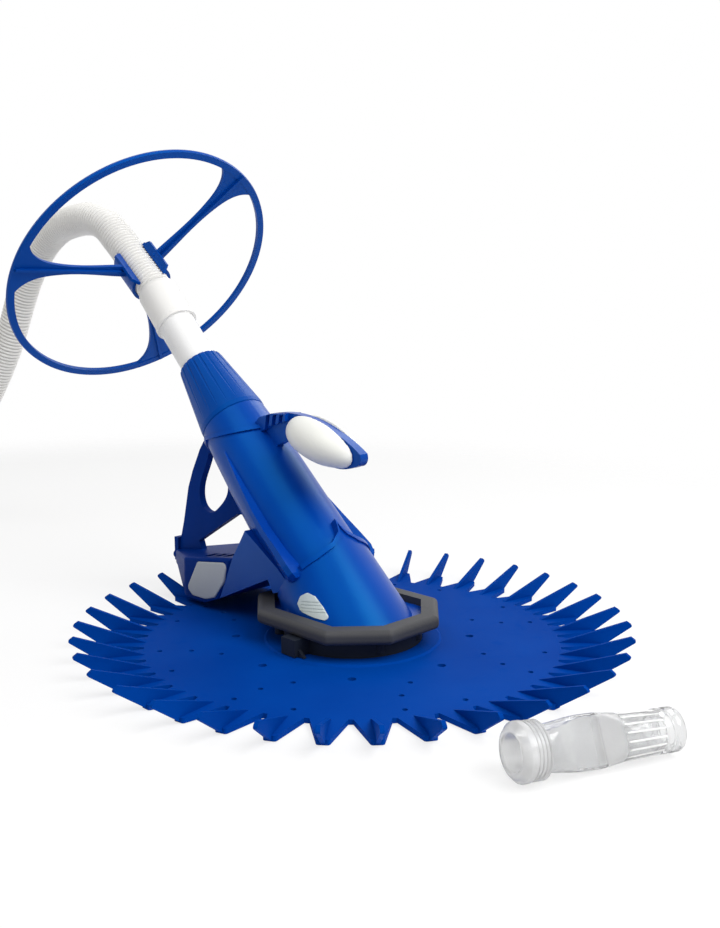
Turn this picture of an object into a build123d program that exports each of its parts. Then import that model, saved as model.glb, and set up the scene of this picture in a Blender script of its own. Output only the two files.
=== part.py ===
from build123d import *
from math import atan2, cos, degrees, pi, radians, sin, sqrt
import os

# Suction pool cleaner head with its finned disc, bumpers, deflector wheel and leader hose.
# Frame: origin on the floor under the centre of the foot, +X the way it travels, +Y its left,
# +Z up.  Millimetres throughout.

# ---- driving dimensions ------------------------------------------------------------------
DISC_TIP_R = 240.0          # over the fin tips
FIN_COUNT = 36
DISC_THICK = 4.0
TOOTH_R = 213.0             # blunt end of each flat tooth
TOOTH_TIP_HALF = 4.6
NOTCH_R = 179.0             # bottom of the notch between two teeth
NOTCH_HALF = 1.8
FIN_ROOT_R = 176.0          # where a fin's ridge leaves the disc
FIN_HEIGHT = 24.0
FIN_THICK = 3.2
DISC_BORE_R = 61.0
DISC_HUB_R = 75.5           # raised ring round the bore
DISC_HUB_RISE = 1.4

PAD_R = 66.0                # soft sole under the disc's hub
PAD_BORE_R = 44.0
PAD_THICK = 1.9
FOOT_R = 60.4               # ring that the disc turns round
FOOT_WALL = 5.4
SHELF_Z = 22.0
SHELF_THICK = 4.0

LEAN_X = 17.8               # where the barrel's axis meets the floor
LEAN_DEG = 45.0

PIPE_R = 18.5
PIPE_BORE_R = 16.2
INNER_PIPE_R = 16.0
INNER_PIPE_BORE_R = 14.95
SLIDE_GAP = 0.1             # pipe in compression ring, cuff on pipe
RUN_GAP = 0.4               # between turning pieces
SOLE_GAP = 0.8              # disc's underside round the sole
BAND_GAP = 0.3              # bumper round the foot ring
INLAY_GAP = 0.15            # round a plate or pad let into its carrier

NUT_LOW, NUT_HIGH = 252.4, 325.0
NUT_LOW_R, NUT_HIGH_R = 32.5, 22.0
FLUTES = 20
FLUTE_R = 2.0
NECK_R = 24.6
NECK_BORE_R = 22.0
NECK_TOP = 270.0

CUFF_LOW, CUFF_HIGH = 380.0, 428.0
CUFF_R = 20.5
HOSE_R = 17.7
HOSE_BORE_R = 16.3
END_CUFF_LENGTH = 52.0

WHEEL_R = 144.0
WHEEL_BAND = 7.6
WHEEL_THICK = 4.4
WHEEL_ALONG_HOSE = 32.0     # hub centre, along the hose from the cuff
HUB_LENGTH = 42.0
HUB_WALL = 3.4
SPOKES = (60.0, 180.0, 300.0)
CLIP_MOUTH_AT, CLIP_MOUTH_HALF = 120.0, 44.0

DIAPHRAGM_LENGTH = 123.0
DIAPHRAGM_LIP_R = 19.3
DIAPHRAGM_RING_R = 14.85
DIAPHRAGM_MOUTH_R = 12.0
DIAPHRAGM_START = 77.5      # along the barrel

OUTER_CORNERS = ((74, 29), (38, 69), (-46, 69), (-88, 34))   # octagon bumper, left half
BUMPER_BAND = 15.0
BUMPER_LOW, BUMPER_HIGH = 20.4, 32.6

SHELF_INSET = 9.0           # shelf's edge inside the bumper's outline
SCREW_R = 1.8
SCREW_SPOTS = ((54.0, 22.5), (54.0, -22.5), (-40.0, 49.5), (-40.0, -49.5))

SHROUD_TOP = 84.0           # along the barrel
SHROUD_R = 44.6
RIM_LIP = 4.5               # rolled edge along the skirt's rim: its depth and how far it stands out
RIM_LIP_RISE = 1.9
INSERT_PROUD = 0.9
INSERT_SUNK = 1.5
INSERT_OUTLINE = ((-17, 40.5), (-15, 47), (-9.5, 50.5), (-1.5, 48.5), (8.5, 41), (18.5, 31.5), (4, 32.5),
                  (-12, 35))

BARREL_OUT = ((36, 43.0), (63, 41.6), (95, 40.2), (150, 38.0), (187, 36.7), (225, 34.5), (252, 32.2))
SEAT_STEP = 89.0            # where the seat stops inside the barrel
SPUR_SECTIONS = (           # along, then (angle, radius) of front foot, front crest, back crest, back foot
    (71.0, (-66, 40.0), (-71, 49.0), (-76, 49.0), (-94, 40.0)),
    (75.0, (-63, 39.9), (-69.5, 53.5), (-76, 53.2), (-97, 39.9)),
    (84.0, (-65, 39.6), (-69.5, 55.0), (-75.5, 54.6), (-98, 39.6)),
    (100.0, (-70, 39.2), (-71.5, 53.0), (-77.5, 52.6), (-98, 39.2)),
    (125.0, (-74.5, 38.4), (-76, 50.0), (-82, 49.6), (-97, 38.4)),
    (150.0, (-76, 37.6), (-79, 46.5), (-84.5, 46.0), (-96, 37.6)),
    (184.0, (-78.5, 36.2), (-79.5, 41.8), (-84, 41.4), (-92, 36.2)),
    (216.0, (-80, 34.4), (-80.5, 36.0), (-82, 36.0), (-84, 34.4)),
)
SPUR_ROOT = 3.0             # how far it reaches into the barrel's wall

ARM_HALF = 4.5
ARM_TOP = ((-122, 181), (-112, 188), (-95, 193), (-78, 194.5), (-45, 191), (-22, 184), (0, 174.5), (13.5, 166.5))
ARM_NOSE = (14.0, 160.5)
ARM_UNDER = ((7, 155), (-8, 151.5), (-33, 155), (-54, 165), (-72, 170), (-88, 166), (-104, 157))
STRAP_TOP = ((-80, 190.3), (-164.7, 167.4), (-200, 132.1))
STRAP_WIDTH = 3.8
STRAP_THICK = 2.0
PAD_ENDS = ((-75.0, 183.0), (6.5, 160.0))
PAD_SWELL = 1.25

FRAME_HALF = 3.4
FRAME_FOOT = 32.0
TAIL_HALF = 44.0
TAIL_BACK = -257.5
TAIL_SIDE = ((-133, 19), (-113, 61), (-254, 38), (-254, 20), (-190, 10.5), (-155, 10.5))
TAIL_PLAN = [(-100, TAIL_HALF), (-187, TAIL_HALF), (-254, 8)]
TAIL_PAD_OUTLINE = ((-165, 48.5), (-124, 55.0), (-120.5, 51), (-125, 36), (-139, 18.5), (-153, 14), (-174, 13.5),
                    (-182.5, 20))
TAIL_PAD_SUNK = 2.2
TAIL_PAD_PROUD = 0.8
TAIL_SCREW_R = 2.0
TAIL_SCREW_Z = 31.0

HOSE_ROUTE = ((-336, 0, 344.6), (-394, 0, 388.3), (-508.5, 0, 357.5), (-586, -16, 186),
              (-752, -66, 19.5), (-985, -105, 21.4))
TURN_SHARE = 0.45

C45 = cos(radians(LEAN_DEG))
LEAN = Plane(origin=(LEAN_X, 0, 0), x_dir=(C45, 0, C45), z_dir=(-C45, 0, C45))


def leaned(shape):
    """Carry a shape built round +Z onto the leaning barrel axis."""
    return LEAN.location * shape


def turned(points):
    """Solid of revolution round Z from (radius, height) points."""
    return revolve(make_face(Polyline(*[(r, 0, z) for r, z in points], close=True)), Axis.Z)


def prism_y(points, y_low, y_high):
    """Solid between two Y planes from a closed (x, z) outline."""
    face = make_face(Polyline(*[(x, y_low, z) for x, z in points], close=True))
    return extrude(face, y_high - y_low, dir=(0, 1, 0))


def smooth_prism_y(points, y_low, y_high):
    """The same with a smooth closed outline."""
    face = make_face(Spline(*[(x, y_low, z) for x, z in points], periodic=True))
    return extrude(face, y_high - y_low, dir=(0, 1, 0))


def slab(x0, x1, y0, y1, z0, z1):
    """Box between two planes along each axis."""
    return Pos((x0 + x1) / 2, (y0 + y1) / 2, (z0 + z1) / 2) * Box(x1 - x0, y1 - y0, z1 - z0)


# ---- disc and foot -------------------------------------------------------------------------
def finned_disc():
    """Drilled disc of blunt teeth, each with an upright fin, round a raised hub."""
    pitch = 360 / FIN_COUNT
    rim = []
    for i in range(FIN_COUNT):
        for radius, half, turn in ((TOOTH_R, TOOTH_TIP_HALF, 0.0), (NOTCH_R, NOTCH_HALF, 0.5)):
            for side in (-half, half):
                rim.append(Vector(radius, side).rotate(Axis.Z, (i + turn) * pitch))
    plate = make_face(Polyline(*rim, close=True))
    plate = fillet(plate.vertices().filter_by(lambda v: v.center().length > TOOTH_R - 1), TOOTH_TIP_HALF / 2)
    plate = extrude(plate, DISC_THICK)
    hub = turned([(DISC_BORE_R, 0), (DISC_HUB_R + 2, 0), (DISC_HUB_R + 2, DISC_THICK),
                  (DISC_HUB_R, DISC_THICK + DISC_HUB_RISE), (DISC_BORE_R, DISC_THICK + DISC_HUB_RISE)])
    body = plate + hub - Cylinder(DISC_BORE_R, 30)
    body -= Cylinder(PAD_R + SOLE_GAP, 2 * (PAD_THICK + RUN_GAP))
    ridge = Polyline((FIN_ROOT_R, 0, DISC_THICK - 0.6), (DISC_TIP_R - 5, 0, FIN_HEIGHT),
                     (DISC_TIP_R, 0, FIN_HEIGHT - 3.5), (TOOTH_R - 1.2, 0, 0), (TOOTH_R - 16, 0, 0), close=True)
    fin = extrude(make_face(ridge), FIN_THICK / 2, both=True)
    fin = fillet(fin.edges().filter_by(Axis.Y).group_by(Axis.X)[-1], 1.6)
    body += [Rot(0, 0, i * pitch) * fin for i in range(FIN_COUNT)]
    drill = Cylinder(3.6, 30)
    body -= [Rot(0, 0, 45 * k) * Pos(102, 0, 0) * drill for k in range(8)]
    small = Cylinder(2.2, 30)
    for radius, offset in ((118, 0), (140, -7), (166, -9), (166, 8)):
        body -= [Rot(0, 0, 22.5 + offset + 45 * k) * Pos(radius, 0, 0) * small for k in range(8)]
    return body


def foot_pad():
    """Soft sole with radial grooves in its underside."""
    pad = turned([(PAD_BORE_R, 0), (PAD_R, 0), (PAD_R - 0.7, PAD_THICK), (PAD_BORE_R, PAD_THICK)])
    groove = Pos((PAD_BORE_R + PAD_R) / 2 - 6, 0, 0) * Box(16, 3.0, 1.6)
    return pad - [Rot(0, 0, 30 * k + 15) * groove for k in range(12)]


def foot_ring():
    """Ring that the disc turns round, with its flange, side lugs and screw bosses."""
    inner = FOOT_R - FOOT_WALL
    wall = turned([(inner, PAD_THICK), (FOOT_R, PAD_THICK), (FOOT_R, SHELF_Z), (inner - 7, SHELF_Z),
                   (inner - 7, SHELF_Z - 3), (inner, SHELF_Z - 3)])
    lug = slab(-7, 10, FOOT_R - 3, 76, 6.2, BUMPER_LOW)
    lug += prism_y([(10, 6.2), (17, 6.2), (10, 12.0)], FOOT_R + 9, FOOT_R + 12)
    foot = wall + lug + mirror(lug, Plane.XZ)
    for x, y in SCREW_SPOTS:
        foot += Pos(x, y, SHELF_Z - 6.5) * Cylinder(4.2, 13)
    foot -= Cylinder(inner - 7, 60)
    for x, y in SCREW_SPOTS:
        foot -= Pos(x, y, SHELF_Z) * Cylinder(SCREW_R, 24)
    return foot


# ---- octagon bumper and base housing -------------------------------------------------------
def octagon(inset, low, high):
    """Prism of the bumper's outline, drawn in by inset."""
    ring = list(OUTER_CORNERS) + [(x, -y) for x, y in reversed(OUTER_CORNERS)]
    face = make_face(Polyline(*ring, close=True))
    if inset:
        face = offset(face, -inset, kind=Kind.INTERSECTION)
    return Pos(0, 0, low) * extrude(face, high - low)


def octagon_bumper():
    """Soft band round the foot, rounded outside and hooked over the shelf's edge."""
    ring = octagon(0, BUMPER_LOW, BUMPER_HIGH)
    ring = fillet(ring.edges().filter_by(Axis.Z), 4.0)
    ring = fillet(ring.edges().group_by(Axis.Z)[-1], 5.0)
    ring = fillet(ring.edges().group_by(Axis.Z)[0], 4.5)
    ring -= octagon(BUMPER_BAND, 0, 60)
    ring -= octagon(SHELF_INSET, SHELF_Z, SHELF_Z + SHELF_THICK)
    ring -= Cylinder(FOOT_R + BAND_GAP, 2 * SHELF_Z)
    return ring


def shroud_form(grow=0.0):
    """Outside of the flared skirt that carries the barrel, grown by a skin."""
    shelf_top = SHELF_Z + SHELF_THICK
    centre_x = LEAN_X - shelf_top
    shelf = Plane(origin=(centre_x, 0, shelf_top), x_dir=(1, 0, 0), z_dir=(0, 0, 1))
    top = Plane(origin=LEAN.from_local_coords(Vector(0, 0, SHROUD_TOP)), x_dir=LEAN.x_dir, z_dir=LEAN.z_dir)
    return loft([shelf * Ellipse(63 + grow, 51 + grow), top * Circle(SHROUD_R + grow)])


def rim_cutter():
    """Everything above the skirt's wavy rim with its spike at the front."""
    half = [(0, 103), (1.6, 96), (4.2, 90), (15, 82.5), (30, 79.5), (60, 78)]
    outline = half + [(60, 140), (-60, 140)] + [(-y, s) for y, s in reversed(half[1:])]
    face = make_face(Polyline(*[(0, y, s) for y, s in outline], close=True))
    return extrude(face, 80, dir=(1, 0, 0))


def insert_prism(side, grow=0.0):
    """A side insert's outline carried through the skirt on one side, grown all round."""
    outline = Polyline(*[(x, 0, z) for x, z in INSERT_OUTLINE], close=True)
    face = fillet(make_face(outline).vertices(), 2.0)
    if grow:
        face = offset(face, grow)
    body = extrude(face, 70, dir=(0, 1, 0))
    return body if side > 0 else mirror(body, Plane.XZ)


def base_housing():
    """Shelf, flared skirt and rear shoulder in one moulding, hollow for the barrel."""
    shelf = octagon(SHELF_INSET, SHELF_Z, SHELF_Z + SHELF_THICK)
    skirt = shroud_form()
    skirt += leaned(Pos(0, 0, SHROUD_TOP + 10.5) * Cylinder(SHROUD_R, 21))
    lip = Pos(0, 0, 90) * Cylinder(SHROUD_R + RIM_LIP_RISE, 60) & Pos(0, 0, -RIM_LIP) * rim_cutter()
    skirt += leaned(lip & slab(0, 60, -41, 41, 60, 120))
    skirt -= leaned(rim_cutter())
    skirt -= leaned(slab(-80, 0, -80, 80, 78, 140))
    shoulder = prism_y([TAIL_SIDE[0], TAIL_SIDE[1], (-103, 76), (-94, 90), (-49, 63), (-30, 48), (-56, 40),
                        (-63, 51)], -43, 43)
    shoulder -= prism_y([(-140, 20), (-125, 27), (-111, 56), (-100, 73), (-93, 83), (-55, 59), (-66, 54)],
                        -39, 39)
    body = shelf + skirt + shoulder
    body -= barrel_form()
    throat = leaned(Pos(0, 0, 60) * Cylinder(39.5, 160)) & slab(-300, 300, -100, 100, 10, 90)
    body -= throat & octagon(SHELF_INSET + 3, 0, 60)
    for side in (-1, 1):
        body -= insert_prism(side, INLAY_GAP) - shroud_form(-INSERT_SUNK)
    for x, y in SCREW_SPOTS:
        body -= Pos(x, y, SHELF_Z) * Cylinder(SCREW_R, 24)
    return body


def side_insert(side):
    """Pale plate let into the skirt, with grip grooves across its lower half."""
    plate = (shroud_form(INSERT_PROUD) - shroud_form(-INSERT_SUNK)) & insert_prism(side)
    near, far = sorted((0, 90 * side))
    grooves = [prism_y([(-13, z), (13, z + 2.2), (13, z + 3.3), (-13, z + 1.1)], near, far)
               for z in (34.6, 37.2, 39.8, 42.4)]
    return plate - (Part() + grooves - shroud_form(INSERT_PROUD - 0.6))


def shelf_screws():
    """Cross-head screws through the shelf into the foot ring."""
    screw = Cylinder(SCREW_R, 13, align=(Align.CENTER, Align.CENTER, Align.MAX))
    head = Cylinder(2.8, 2.4, align=(Align.CENTER, Align.CENTER, Align.MIN))
    head = fillet(head.edges().group_by(Axis.Z)[-1], 1.0)
    head -= Pos(0, 0, 2.4) * (Box(3.8, 0.9, 2.2) + Box(0.9, 3.8, 2.2))
    one = screw + head
    return [Pos(x, y, SHELF_Z + SHELF_THICK) * one for x, y in SCREW_SPOTS]


# ---- barrel, pipes and nut -----------------------------------------------------------------
def spur(side):
    """One of the two raised fins down the barrel's sides."""
    faces = []
    for along, *corners in SPUR_SECTIONS:
        (front, foot), (back, _) = corners[0], corners[-1]
        root = [(back, foot - SPUR_ROOT), ((front + back) / 2, foot - SPUR_ROOT), (front, foot - SPUR_ROOT)]
        ring = [(r * cos(radians(a)), -side * r * sin(radians(a)), along) for a, r in corners + root]
        faces.append(make_face(Polyline(*ring, close=True)))
    return loft(faces, ruled=True)


def barrel_form():
    """Solid outside of the barrel with its spurs, above the shelf."""
    form = turned([(0, 20), (43.0, 20)] + [(r, s) for s, r in BARREL_OUT] + [(0, 252)])
    form += [spur(-1), spur(1)]
    return leaned(form) & slab(-400, 200, -100, 100, SHELF_Z + SHELF_THICK, 500)


def barrel():
    """Leaning barrel with its stepped bore, grooved neck and spurs."""
    outer = [(r, s) for s, r in BARREL_OUT]
    top = [(NECK_R, 252), (NECK_R, NECK_TOP), (NECK_BORE_R, NECK_TOP), (NECK_BORE_R, 248), (18.8, 248),
           (18.8, 244)]
    inner = [(29.0, 240), (31.0, 236), (34.5, 150), (36.0, SEAT_STEP), (39.5, SEAT_STEP), (39.5, 20)]
    body = turned([(43.0, 20)] + outer + top + inner)
    for k in range(4):
        z = 256 + 4.0 * k
        body -= turned([(NECK_R - 1.0, z), (NECK_R + 1, z - 0.8), (NECK_R + 1, z + 0.8)])
    hollow = turned(inner + [(0, 20), (0, 240)])
    for side in (-1, 1):
        body += spur(side) - hollow
    return leaned(body) & slab(-400, 200, -100, 100, SHELF_Z + SHELF_THICK, 500)


def compression_nut():
    """Fluted conical nut that turns on the barrel's neck."""
    body = turned([(NUT_LOW_R - 0.8, NUT_LOW), (NUT_LOW_R, NUT_LOW + 0.8), (NUT_LOW_R, NUT_LOW + 5),
                   (NUT_HIGH_R + 0.6, NUT_HIGH - 2), (NUT_HIGH_R, NUT_HIGH), (PIPE_R + RUN_GAP, NUT_HIGH),
                   (PIPE_R + RUN_GAP, 280), (NECK_R + RUN_GAP, 280), (NECK_R + RUN_GAP, NUT_LOW)])
    slope = degrees(atan2(NUT_LOW_R - NUT_HIGH_R, NUT_HIGH - NUT_LOW - 5))
    low, high = NUT_LOW + 9, NUT_HIGH - 1
    middle = (low + high) / 2
    radius = NUT_LOW_R - (middle - NUT_LOW - 5) * (NUT_LOW_R - NUT_HIGH_R) / (NUT_HIGH - NUT_LOW - 5)
    place = Pos(radius + 0.9, 0, middle + 5) * Rot(0, -slope - 0.4, 0)
    tool = place * Cylinder(FLUTE_R, high - low + 10)
    tool += place * Pos(0, 0, -(high - low) / 2 - 5) * Sphere(FLUTE_R)
    return leaned(body - [Rot(0, 0, 360 / FLUTES * k) * tool for k in range(FLUTES)])


def compression_ring():
    """Split ring that the nut presses onto the pipe."""
    bore = PIPE_R + SLIDE_GAP
    body = turned([(bore, 253), (20.6, 253), (21.7, 259), (21.7, 270.4), (24.4, 270.4), (24.4, 279.6),
                   (bore, 279.6)])
    return leaned(body - slab(-40, 0, -1.2, 1.2, 240, 300))


def pipe_seal():
    """Soft ring under the compression ring."""
    return leaned(Pos(0, 0, 249.85) * Torus(20.25, 1.7))


def tube(outer, inner, low, high):
    """Tube along +Z."""
    return Pos(0, 0, (low + high) / 2) * (Cylinder(outer, high - low) - Cylinder(inner, high - low))


def outer_pipe():
    """Pipe that slides in the neck and carries the hose cuff."""
    return leaned(tube(PIPE_R, PIPE_BORE_R, 219, CUFF_HIGH - 8))


def inner_pipe():
    """Pipe inside the outer one, with the stop that keeps both in the barrel."""
    stop = tube(PIPE_R, INNER_PIPE_BORE_R, 214, 219)
    return leaned(tube(INNER_PIPE_R, INNER_PIPE_BORE_R, 185, 400) + stop)


# ---- diaphragm -----------------------------------------------------------------------------
def diaphragm():
    """Flexible valve along +Z with its mouth at the origin."""
    lip, ring, mouth, length = DIAPHRAGM_LIP_R, DIAPHRAGM_RING_R, DIAPHRAGM_MOUTH_R, DIAPHRAGM_LENGTH
    flange = [(mouth, 0), (lip - 3.5, 0), (lip, 4), (lip, 8)]
    for k in range(4):
        z = 9.0 + 3.6 * k
        flange += [(lip - 2.2, z), (lip - 2.2, z + 1.4), (lip - 0.4, z + 1.7), (lip - 0.4, z + 3.3)]
    flange += [(15.8, 25.6), (mouth + 1.2, 25.6), (mouth, 4)]
    body = turned(flange)

    def section(z, half_wide, half_thick):
        return Plane.XY.offset(z) * Ellipse(half_wide, half_thick)

    outer = loft([section(23, 15, 14.6), section(40, 16.6, 9.5), section(56, 17.6, 4.6),
                  section(72, 17.2, 8.0), section(86, 15.2, 13.2), section(110, 14.2, 13.6)])
    inner = loft([section(22, 13.6, 13.2), section(40, 15.2, 8.1), section(56, 16.2, 3.2),
                  section(72, 15.8, 6.6), section(86, 13.8, 11.8), section(111, 12.8, 12.2)])
    body += outer - inner
    body += turned([(11.4, 108), (ring - 1.2, 108), (ring, 109.5), (ring, 112.5), (ring - 1.3, 114),
                    (ring - 1.3, 115.5), (ring, 117), (ring, length - 1), (ring - 1, length), (11.4, length)])
    rib = Pos(0, 0, 98) * Box(2 * 14.9, 1.3, 24)
    ribs = [Rot(0, 0, 180 / 8 * k + 11.25) * rib for k in range(8)]
    hollow = Pos(0, 0, 98) * Cylinder(13.2, 40)
    for r in ribs:
        body += r - hollow
    return body


def working_diaphragm():
    """Valve at work in the barrel."""
    return leaned(Pos(0, 0, DIAPHRAGM_START) * diaphragm())


def spare_diaphragm():
    """Spare valve lying on the floor on its lip and collar."""
    tip = degrees(atan2(DIAPHRAGM_LIP_R - DIAPHRAGM_RING_R, DIAPHRAGM_LENGTH))
    laid = Rot(0, 0, 67.2) * Rot(0, 90 + tip, 0) * Rot(0, 0, 152) * diaphragm()
    laid = Pos(258.8, -118.0, 0) * laid
    return Pos(0, 0, -laid.bounding_box().min.Z) * laid


def diaphragm_seat():
    """Cup in the barrel that holds the valve's mouth."""
    start = DIAPHRAGM_START
    bore = DIAPHRAGM_LIP_R + SLIDE_GAP
    return leaned(turned([(13.0, start - 3), (39.3, start - 3), (39.3, SEAT_STEP), (35.0, SEAT_STEP),
                          (35.0, start + 2), (22.4, start + 2), (22.4, start + 20), (bore, start + 20),
                          (bore, start), (13.0, start)]))


# ---- bumpers -------------------------------------------------------------------------------
def strap_band():
    """Collar round the barrel that rises to the arm at the front."""
    low = [(x + STRAP_WIDTH * 0.5, z - STRAP_WIDTH * 0.87) for x, z in STRAP_TOP]
    return barrel_skin(0.0, STRAP_THICK) & prism_y(list(STRAP_TOP) + list(reversed(low)), -60, 60)


def barrel_skin(grow_low, grow_high):
    """Skin over the barrel between two offsets of its outline."""
    low = [(r + grow_low, s) for s, r in BARREL_OUT]
    high = [(r + grow_high, s) for s, r in BARREL_OUT]
    return leaned(turned(low + list(reversed(high))))


def front_bumper():
    """Arched arm on its strap, with a slotted root."""
    top_points = [Vector(x, -ARM_HALF, z) for x, z in ARM_TOP]
    under_points = [Vector(x, -ARM_HALF, z) for x, z in ARM_UNDER]
    top = Spline(*top_points)
    nose = ThreePointArc(top_points[-1], Vector(ARM_NOSE[0], -ARM_HALF, ARM_NOSE[1]), under_points[0])
    under = Spline(*under_points)
    back = Line(under_points[-1], top_points[0])
    outline = make_face([*top.edges(), *nose.edges(), *under.edges(), *back.edges()])
    blade = extrude(outline, 2 * ARM_HALF, dir=(0, 1, 0))
    root = prism_y([(-124, 178), (-112, 188), (-95, 192.8), (-76, 194), (-76, 187.5), (-99, 181), (-118, 170)],
                   -9.5, 9.5)
    for k in range(4):
        x = -108 + 9.0 * k
        slot = [(x, 160), (x + 5.4, 160), (x + 11.4, 192.2 + k * 0.6), (x + 6, 190.4 + k * 0.8)]
        root -= prism_y(slot, 5.6, 20)
        root -= prism_y(slot, -20, -5.6)
    return blade + root - barrel_form() + strap_band()


def front_pad(side):
    """Egg-shaped soft pad on one side of the arm."""
    (x0, z0), (x1, z1) = PAD_ENDS
    length = sqrt((x1 - x0) ** 2 + (z1 - z0) ** 2)
    tilt = degrees(atan2(z1 - z0, x1 - x0))
    half = [(0, 0), (2.2, 7.4), (12, 14.4), (30, 18.0), (50, 17.6), (67, 13.6), (79.5, 7.8), (length, 0)]
    curve = Spline(*[(t, 0, h) for t, h in half])
    face = make_face([*curve.edges(), *Line((length, 0, 0), (0, 0, 0)).edges()])
    egg = scale(revolve(face, Axis.X), (1, PAD_SWELL, 1))
    near, far = sorted((side * ARM_HALF, side * 40))
    return (Pos(x0, 0, z0) * Rot(0, -tilt, 0) * egg) & slab(-100, 60, near, far, 100, 240)


def rear_frame():
    """Flat frame from the barrel's back down to the tail, with one rounded window."""
    outer = [(-176, 152), (-184, 155), (-198, 159), (-206, 156), (-213, 147), (-226, 124), (-234, 106),
             (-243.5, 69), (-251, 46), (-251, FRAME_FOOT), (-214, FRAME_FOOT), (-214, 44), (-218, 53),
             (-196, 66), (-155, 90), (-120, 92), (-150, 130)]
    plate = prism_y(outer, -FRAME_HALF, FRAME_HALF)
    hole = [(-199, 143), (-209, 122), (-215, 103), (-211, 90), (-198, 85), (-184, 92), (-169, 111), (-175, 128)]
    plate -= smooth_prism_y(hole, -20, 20)
    return plate - barrel_form() - strap_band()


def tail_form(inset=0.0):
    """Solid of the tail: its side outline within its tapering plan."""
    side = make_face(Polyline(*[(x, 0, z) for x, z in TAIL_SIDE], close=True))
    plan = make_face(Polyline(*(TAIL_PLAN + [(x, -y) for x, y in reversed(TAIL_PLAN)]), close=True))
    plan = fillet(plan.vertices().filter_by(lambda v: v.X < -180), 12.0)
    if inset:
        side, plan = offset(side, -inset), offset(plan, -inset)
    return extrude(side, 60, both=True) & extrude(plan, 100)


def tail_pad_face(grow=0.0):
    """Face of a tail pad in the middle plane, grown all round."""
    outline = Polyline(*[(x, 0, z) for x, z in TAIL_PAD_OUTLINE], close=True)
    face = fillet(make_face(outline).vertices(), 4.0)
    return offset(face, grow) if grow else face


def side_slab(side, near, far):
    """Everything on one side between two distances from the middle plane."""
    low, high = sorted((side * near, side * far))
    return slab(-300, 100, low, high, 0, 100)


def tail_bumper():
    """Hollow wedge behind the foot, with seats for its pads, slots and a socket for the frame."""
    body = tail_form()
    long_edges = body.edges().filter_by(lambda e: e.center().Z > 40 and abs(e.center().Y) > TAIL_HALF - 0.5)
    body = fillet(long_edges, 3.0)
    body -= tail_form(4.0)
    body -= prism_y([(-140, 26), (-125, 26), (-112, 52), (-112, 53.5), (-140, 50)], -39, 39)
    for side in (-1, 1):
        pocket = extrude(tail_pad_face(INLAY_GAP), 60, dir=(0, side, 0))
        body -= pocket & side_slab(side, TAIL_HALF - TAIL_PAD_SUNK, 60)
        near, far = sorted((side * 22, side * 36))
        for k in range(3):
            x = -166 + 14 * k
            low = 61 + (x + 113) * 0.165 - 3.0
            body -= prism_y([(x, low), (x + 9, low), (x + 14, 80), (x + 5, 80)], near, far)
    body += slab(-257.5, -251, -6, 6, FRAME_FOOT - 6, 51)
    body -= slab(-251, -214, -FRAME_HALF, FRAME_HALF, FRAME_FOOT, 60)
    body -= Pos(TAIL_BACK, 0, TAIL_SCREW_Z) * Rot(0, 90, 0) * Cylinder(TAIL_SCREW_R, 12)
    return body - turned([(150, 0), (150, 7), (178, 7), (238, 26.5), (300, 26.5), (300, 0)])


def tail_pad(side):
    """Flat soft pad let into the tail's side."""
    plate = extrude(tail_pad_face(), 60, dir=(0, side, 0))
    return plate & side_slab(side, TAIL_HALF - TAIL_PAD_SUNK, TAIL_HALF + TAIL_PAD_PROUD)


def tail_screw():
    """Thumb screw that holds the tail to the frame."""
    shank = Pos(TAIL_BACK + 0.5, 0, TAIL_SCREW_Z) * Rot(0, 90, 0) * Cylinder(TAIL_SCREW_R, 10)
    knob = Pos(TAIL_BACK - 3.5, 0, TAIL_SCREW_Z) * Rot(0, 90, 0) * Cylinder(4.4, 6.0)
    return shank + fillet(knob.edges().group_by(Axis.X)[0], 2.0)


# ---- hose and deflector wheel --------------------------------------------------------------
def hose_start():
    """Where the hose leaves its cuff."""
    return LEAN.from_local_coords(Vector(0, 0, CUFF_HIGH))


def hose_points():
    """Corners of the hose's route."""
    return [hose_start()] + [Vector(*p) for p in HOSE_ROUTE]


def hose_path():
    """The route, each corner rounded as far as its shorter run allows."""
    points = hose_points()
    radii = []
    for before, here, after in zip(points, points[1:], points[2:]):
        turn = (here - before).get_angle(after - here)
        run = min((here - before).length, (after - here).length)
        radii.append(TURN_SHARE * run / sin(radians(turn / 2)) * cos(radians(turn / 2)))
    print("hose bend radii", [round(r) for r in radii])
    return FilletPolyline(*points, radius=radii)


def along_path(path, radius, bore):
    """Tube along a path."""
    plane = Plane(origin=path @ 0, z_dir=path % 0)
    solid = sweep(plane * Circle(radius), path=path) - sweep(plane * Circle(bore), path=path)
    print("hose length", round(path.length), "volume ratio",
          round(solid.volume / (pi * (radius ** 2 - bore ** 2) * path.length), 3))
    return solid


def cuff(length):
    """Smooth hose end with a rolled lip at its open end, along +Z."""
    bore = PIPE_R + SLIDE_GAP
    wall = [(bore, 0), (CUFF_R + 0.8, 0), (CUFF_R + 0.8, 3.2), (CUFF_R, 4.2), (CUFF_R - 0.3, length - 4),
            (CUFF_R - 1.4, length), (HOSE_R - 1.0, length), (HOSE_R - 1.0, length - 6), (bore, length - 8)]
    return turned(wall)


def hose_cuff():
    """Cuff that joins the hose to the pipe."""
    return leaned(Pos(0, 0, CUFF_LOW) * cuff(CUFF_HIGH - CUFF_LOW))


def hose_end_cuff(path):
    """Cuff on the hose's far end."""
    end, heading = path @ 1, path % 1
    mouth = end + heading * END_CUFF_LENGTH
    return Plane(origin=mouth, z_dir=heading * -1).location * cuff(END_CUFF_LENGTH)


def wheel_plane():
    """Plane of the wheel, square to the hose's first run."""
    points = hose_points()
    heading = (points[1] - points[0]).normalized()
    centre = points[0] + heading * WHEEL_ALONG_HOSE
    return Plane(origin=centre, x_dir=(0, 1, 0), z_dir=heading * -1)


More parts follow.
